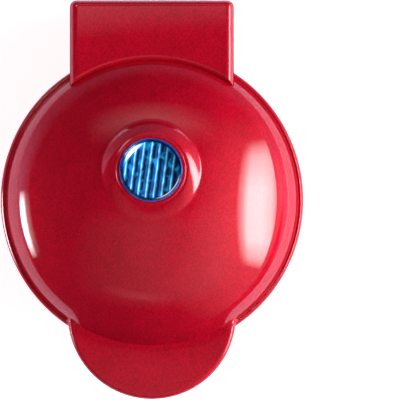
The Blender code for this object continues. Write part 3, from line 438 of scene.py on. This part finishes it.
def buildDome():
    rings = lidRings()
    rim = rings[-1]
    rings.insert(0, [(x, y, z - lid["wall"]) for x, y, z in rings[0]])
    for radius, z in lidSkirt:
        rings.append([(x * radius / lid["radius"], y * radius / lid["radius"], z) for x, y, _ in rim])
    points = [p for ring in rings for p in ring]
    faces = keptFaces(points, ringFaces(len(rings), lid["around"]), underBlock)
    return meshPiece("lid_dome_skin", fromMm(points), faces, red, 30)


def ringSlab(name, rings, drop=None):  # rings from the bottom up, with the last one closed by a face
    count = len(rings[0])
    points = [p for ring in rings for p in ring]
    faces = ringFaces(len(rings), count)
    if drop:
        faces = keptFaces(points, faces, drop)
    faces.append(tuple(range(len(points) - count, len(points))))
    return meshPiece(name, fromMm(points), faces, red, 40)


def blockRing(inset, front, z, sideInset=None):
    frontSteps, sideSteps, cornerSteps, rearSteps = 40, 12, 10, 16
    half, rear = lid["blockHalf"] - (inset if sideInset is None else sideInset), lid["blockRear"] - inset
    corner = max(lid["blockCorner"] - inset, lid["leastCorner"])
    reach = math.acos(half / front)
    start = front * math.sin(reach)
    side = rear - corner - start
    # along the front from left to right, and then round the right side, the rear and the left side
    ring = arc(0, 0, front, math.pi - reach, 2 * reach - math.pi, frontSteps, z)
    ring += [(half, start + side * k / sideSteps, z) for k in range(1, sideSteps)]
    ring += arc(half - corner, rear - corner, corner, 0, math.pi / 2, cornerSteps, z)
    ring += [((half - corner) * (1 - 2 * k / rearSteps), rear, z) for k in range(1, rearSteps)]
    ring += arc(corner - half, rear - corner, corner, math.pi / 2, math.pi / 2, cornerSteps, z)
    ring += [(-half, rear - corner - side * k / sideSteps, z) for k in range(1, sideSteps)]
    return ring


def buildBlock():
    steps = 12
    top, soft, drop, front = lid["blockTop"], lid["blockRound"], lid["blockDrop"], lid["blockFront"]
    low, skirt, flat = lid["skirtBottom"], lid["skirtFront"], lid["topFlat"]
    rings = [blockRing(lid["lowerEdge"], skirt, low), blockRing(0, skirt, low + lid["lowerEdge"])]
    rings += [blockRing(0, skirt, lid["bottom"]), blockRing(0, front, lid["bottom"])]
    rings.append(blockRing(0, front, lid["hollowTop"]))
    for k in range(steps + 1):
        a = math.pi / 2 * k / steps
        drawn = 1 - math.cos(a)
        z = top - drop + drop * math.sin(a)
        rings.append(blockRing(soft * drawn, front + lid["frontRound"] * drawn, z, lid["sideRound"] * drawn))
    rings.append(blockRing(soft + flat, front + lid["frontRound"] + flat, top, lid["sideRound"] + flat))
    return ringSlab("lid_hinge_block_skin", rings, inHollow)


def tabRing(inset, z):
    radius, centre, front = lid["tabR"] - inset, lid["tabY"], lid["tabFront"]
    # the plan's two circles meet where both distances agree
    y = (front**2 - radius**2 + centre**2) / (2 * centre)
    x = math.sqrt(front**2 - y * y)
    first, inner = math.atan2(y - centre, x), math.atan2(y, x)
    outside = arc(0, centre, radius, first, -(math.pi + 2 * first), 96, z)
    inside = arc(0, 0, front, -math.pi - inner, math.pi + 2 * inner, 48, z)
    return outside + inside[1:-1]


def buildTab():
    steps = 8
    top, soft, low = lid["tabTop"], lid["tabRound"], lid["bottom"]
    rings = [tabRing(lid["lowerEdge"], low), tabRing(0, low + lid["lowerEdge"])]
    for k in range(steps + 1):
        a = math.pi / 2 * k / steps
        rings.append(tabRing(soft * (1 - math.cos(a)), top - soft + soft * math.sin(a)))
    return ringSlab("lid_tab_skin", [ring[::-1] for ring in rings])


def insideOf(name, newName, isOutside):  # a copy of the solid without the faces that the skins stand in for
    obj = nodes[name].copy()
    obj.data = nodes[name].data.copy()
    obj.name = newName
    for key in list(obj.keys()):
        del obj[key]
    obj.parent = None
    bpy.context.scene.collection.objects.link(obj)
    shape = bmesh.new()
    shape.from_mesh(obj.data)
    gone = [f for f in shape.faces if isOutside(f.calc_center_median() / mm, f.normal)]
    bmesh.ops.delete(shape, geom=gone, context="FACES")
    shape.to_mesh(obj.data)
    shape.free()
    return obj


def lidOutside(c, normal):
    # depth lies half-way through the wall; beyond blockR the faces may be the hinge block's
    depth, blockR, blockStart, sideStart = 1.1, 59.0, 50.0, 45.0
    seatR, frontTop, frontR, capR, capDepth = 13.6, 44.4, 60.1, 62.2, 1.0
    if normal.z < -0.9:
        return False
    if math.hypot(c.x, c.y - lens["middle"]) < seatR and c.z > lid["pedestalTop"] - lid["wall"] - 0.1:
        return True
    r = math.hypot(c.x, c.y)
    if r > blockR and c.y > sideStart and abs(c.x) > lid["blockHalf"] - depth:
        return True
    if r > blockR and c.y > blockStart:
        onTop = c.z > lid["blockTop"] - depth
        return c.y > lid["blockRear"] - depth or onTop or (c.z > frontTop and r < frontR)
    if r < capR:
        return c.z > lidHeight(c.x, c.y) - capDepth
    inTab = lid["tabR"] - math.hypot(c.x, c.y - lid["tabY"])
    return c.y > 0 or inTab < depth or c.z > lid["tabTop"] - depth


lidSkins = [buildDome(), buildBlock(), buildTab(), insideOf("lid_shell", "lid_inner_walls", lidOutside)]
for skin in lidSkins:
    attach(skin, "lid")
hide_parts("lid_shell")
print("lid skins ready")


# the bowl of the base, in finer steps than its solid

base = dict(
    radius=62.5, core=40.0, shoulder=32.5, top=37.2, topLift=0.02, low=3.5, below=0.5, edge=0.25, edgeCut=0.07,
    land=1.2, blockHalf=33.5, blockTop=29.8, around=240, rise=0.72, rises=41,
)


def bowlRadius(z):
    depth = base["shoulder"] - base["low"] + base["below"]
    share = max(base["shoulder"] - z, 0) / depth
    return base["core"] + (base["radius"] - base["core"]) * math.sqrt(1 - share * share)


def inRearBlock(x, y, z):
    return abs(x) < base["blockHalf"] and y > 0 and z < base["blockTop"]


def buildBowl():
    radius, low, top = base["radius"], base["low"], base["top"] + base["topLift"]
    heights = [base["shoulder"] - base["rise"] * k for k in range(base["rises"])]
    profile = [(radius - base["land"], top), (radius - base["edge"], top)]
    profile += [(radius - base["edgeCut"], top - base["edgeCut"]), (radius, top - base["edge"])]
    profile += [(bowlRadius(z), z) for z in [*(z for z in heights if z > low), low]]
    points = []
    for r, z in profile:
        for i in range(base["around"]):
            a = 2 * math.pi * (i + 0.5) / base["around"]
            points.append((r * math.cos(a), r * math.sin(a), z))
    faces = keptFaces(points, ringFaces(len(profile), base["around"]), inRearBlock)
    return meshPiece("base_bowl_skin", fromMm(points), faces, red, 40)


def baseOutside(c, normal):
    near, margin, leastTurn = 0.6, 0.1, 0.15
    outward = (normal.x * c.x + normal.y * c.y) / max(math.hypot(c.x, c.y), 1)
    onBowl = base["low"] - margin < c.z < base["top"] - margin and abs(math.hypot(c.x, c.y) - bowlRadius(c.z)) < near
    return onBowl and outward > leastTurn and not inRearBlock(*c)


baseSkins = [buildBowl(), insideOf("base_shell", "base_inner_walls", baseOutside)]
for skin in baseSkins:
    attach(skin, "base")
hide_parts("base_shell")
print("base skins ready")


# the lamp's lens: a clear crown over a ribbed disc


def buildCrown():
    domeSteps, roundSteps = 24, 5
    radius, soft, steps = lens["radius"], lens["edgeRound"], lens["around"]
    crownR = (radius**2 + lens["crown"] ** 2) / (2 * lens["crown"])
    rings = []
    for k in range(1, domeSteps + 1):
        r = (radius - soft) * k / domeSteps
        rings.append((r, lens["edge"] + lens["crown"] - crownR + math.sqrt(crownR**2 - r * r)))
    edgeZ = rings[-1][1]
    for k in range(1, roundSteps + 1):
        a = math.pi / 2 * k / roundSteps
        rings.append((radius - soft + soft * math.sin(a), edgeZ - soft * (1 - math.cos(a))))
    rings += [(radius, lens["seat"]), (radius - lens["seatInset"], lens["seat"])]
    points = [(0, lens["middle"], lens["edge"] + lens["crown"])]
    for r, z in rings:
        for i in range(steps):
            a = 2 * math.pi * i / steps
            points.append((r * math.cos(a), lens["middle"] + r * math.sin(a), z))
    faces = [(0, 1 + i, 1 + (i + 1) % steps) for i in range(steps)]
    faces += [tuple(1 + i for i in face[::-1]) for face in ringFaces(len(rings), steps)]
    faces.append(tuple(range(len(points) - steps, len(points)))[::-1])
    return meshPiece("indicator_lens_crown", fromMm(points), faces, finishes["lens_blue"], 50)


def buildRibs():  # a square grid that is pulled into a disc, with a V groove at each pitch
    points, faces, cells = [], [], lens["ribCells"]
    for j in range(cells + 1):
        for i in range(cells + 1):
            u, v = 2 * i / cells - 1, 2 * j / cells - 1
            x, y = u * math.sqrt(1 - v * v / 2) * lens["ribField"], v * math.sqrt(1 - u * u / 2) * lens["ribField"]
            across = x * math.cos(lens["lean"]) - y * math.sin(lens["lean"])
            wave = abs((across / lens["pitch"]) % 1 - 0.5) * 2
            points.append((x, y + lens["middle"], lens["ribTop"] - lens["ribDepth"] * (1 - wave) ** 1.5))
    for j in range(cells):
        for i in range(cells):
            a = j * (cells + 1) + i
            faces.append((a, a + 1, a + cells + 2, a + cells + 1))
    return meshPiece("indicator_lens_ribs", fromMm(points), faces, ribPaint, 60)


lensSkins = [buildCrown(), buildRibs()]
for skin in lensSkins:
    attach(skin, "lid")
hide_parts("indicator_lens")
print("lens ready")


# floor, lights and camera; the floor's sizes and the camera's distance are in metres

stage = dict(
    distance=1.6, middle=(23.3, 0.0), widthMm=173.0, rimHeight=42.0, sensor=36, lightReach=1.2, aimHeight=0.05,
    floorSize=3.0, floorRear=0.22, floorGlow=0.75, floorMirror=(0.6, 0.42, 0.68),
    skyDark=0.02, skyBright=1.15, skyTint=(1.0, 0.62, 1.0), horizon=0.2, frontDrop=0.49, rearSky=0.22,
)


def softbox(name, azimuth, elevation, size, power, shape):
    # one ramp runs from the box's lower edge to its upper one, the other from its left side to its right one
    reach = stage["lightReach"]
    data = bpy.data.lights.new(name, "AREA")
    data.shape = "RECTANGLE"
    data.size, data.size_y = (2 * reach * math.tan(math.radians(angle / 2)) for angle in size)
    data.energy = power * math.pi * data.size * data.size_y
    data.use_nodes = True
    n = Nodes(data.node_tree)
    u, v, _ = n.axes(n.node("ShaderNodeNewGeometry", pick="Parametric"))
    side = abs(u - 0.5) * 2
    rise = n.ramp(v + side * side * shape.get("bulge", 0), shape["rise"])
    glow = n.vector("MULTIPLY", rise, n.ramp(u, shape["spread"]))
    n.tree.links.new(glow.socket, n.tree.nodes["Emission"].inputs["Color"])
    obj = bpy.data.objects.new(name, data)
    bpy.context.scene.collection.objects.link(obj)
    a, e = math.radians(azimuth), math.radians(elevation)
    aim = Vector((0, 0, stage["aimHeight"]))
    obj.location = aim + reach * Vector((math.cos(e) * math.cos(a), math.cos(e) * math.sin(a), math.sin(e)))
    obj.rotation_mode = "QUATERNION"
    obj.rotation_quaternion = (aim - obj.location).to_track_quat("-Z", "Y")


hill = grey((0, 0), (0.5, 1), (1, 0))
strip = dict(rise=grey((0, 1), (1, 0.9)), spread=grey((0, 0), (0.2, 1), (0.8, 1), (1, 0)))
streak = dict(
    rise=grey((0, 0.15), (0.2, 1), (0.52, 1), (0.66, 0.12), (1, 0)), spread=grey((0, 0), (0.25, 1), (0.65, 1), (1, 0)),
)
overhead = dict(
    rise=grey((0, 0), (0.3, 1), (0.8, 1), (1, 0)), spread=grey((0, 0), (0.2, 1), (0.8, 1), (1, 0)), bulge=-0.14,
)
window = dict(
    rise=grey((0, 0.3), (0.15, 0.75), (0.4, 1), (0.72, 0.95), (0.85, 0.4), (1, 0)),
    spread=grey((0, 0), (0.09, 0.5), (0.24, 0.95), (0.6, 1), (0.84, 0.6), (0.96, 0.12), (1, 0)), bulge=0.42,
)
halo = dict(rise=grey((0, 1), (0.5, 1), (1, 0)), spread=hill)
even = dict(rise=grey((0, 0), (0.2, 1), (0.8, 1), (1, 0.2)), spread=hill)
cloudy = dict(rise=hill, spread=hill)
# azimuth and elevation of the box's middle, its width and height as seen from the object, all in degrees
softbox("rightBox", -2, 28.5, (62, 26), 13, window)
softbox("rightHalo", -14, 40, (110, 56), 0.7, halo)
softbox("leftStrip", 191, 11.8, (30, 10), 25, streak)
softbox("rearGlow", 90, 44, (70, 24), 0.95, cloudy)
softbox("rearTop", 93.7, 81.05, (14, 6), 0.66, overhead)
softbox("frontTop", 272, 55, (90, 60), 0.28, even)
softbox("frontGlow", 262, 33, (40, 7), 0.35, cloudy)
softbox("glint", 137, 64.8, (14, 6), 16, strip)


def buildFloor():  # white to the camera, lilac in the paint's mirror
    half, rear = stage["floorSize"] / 2, stage["floorRear"]
    p = Paint("floorPaper")
    tone = p.ramp(p.noise(30, 2), grey((0.3, 0.86), (0.7, 0.9)))
    seen = p.ramp(p.node("ShaderNodeLightPath", pick="Is Camera Ray"), grey((0, 0), (1, stage["floorGlow"])))
    inMirror = p.node("ShaderNodeLightPath", pick="Is Glossy Ray")
    mirrored = p.ramp(inMirror, [(0, (0, 0, 0)), (1, stage["floorMirror"])])
    glow = p.vector("ADD", seen, mirrored)
    p.finish(Base_Color=tone, Roughness=0.9, Specular_IOR_Level=0.0, Emission_Color=glow, Emission_Strength=1.0)
    corners = [(-half, -half, 0), (half, -half, 0), (half, rear, 0), (-half, rear, 0)]
    meshPiece("floor", corners, [(0, 1, 2, 3)], p.material)


def buildWorld():  # bright near the horizon in the paint's mirror, white to the camera
    world = bpy.data.worlds.new("studio")
    bpy.context.scene.world = world
    world.use_nodes = True
    n = Nodes(world.node_tree)
    _, y, z = n.axes(n.node("ShaderNodeTexCoord", pick="Generated"))
    height = z - y.under(0) * stage["frontDrop"] - stage["horizon"]
    low = n.ramp(height + 0.5, grey((0.47, 1), (0.58, 0))) * n.ramp(y, grey((0.1, 1), (0.6, stage["rearSky"])))

    def background(colour, strength):
        return n.node("ShaderNodeBackground", {}, {"Color": (*colour, 1), "Strength": strength})

    dark = background(stage["skyTint"], stage["skyDark"])
    bright = background(stage["skyTint"], stage["skyBright"])
    sky = n.node("ShaderNodeMixShader", {}, {0: low, 1: dark, 2: bright})
    seen = n.node("ShaderNodeLightPath", pick="Is Camera Ray")
    shown = n.node("ShaderNodeMixShader", {}, {0: seen, 1: sky, 2: background((1, 1, 1), 1.0)})
    n.tree.links.new(shown.socket, n.tree.nodes["World Output"].inputs["Surface"])


def buildCamera():  # straight above the object, with widthMm across the picture at the rim's height
    data = bpy.data.cameras.new("camera")
    data.sensor_width = stage["sensor"]
    data.lens = stage["sensor"] * (stage["distance"] - stage["rimHeight"] * mm) / (stage["widthMm"] * mm)
    camera = bpy.data.objects.new("camera", data)
    bpy.context.scene.collection.objects.link(camera)
    camera.location = (stage["middle"][0] * mm, stage["middle"][1] * mm, stage["distance"])
    bpy.context.scene.camera = camera


buildFloor()
buildWorld()
buildCamera()
bpy.context.scene.view_settings.view_transform = "Standard"
print("stage ready")
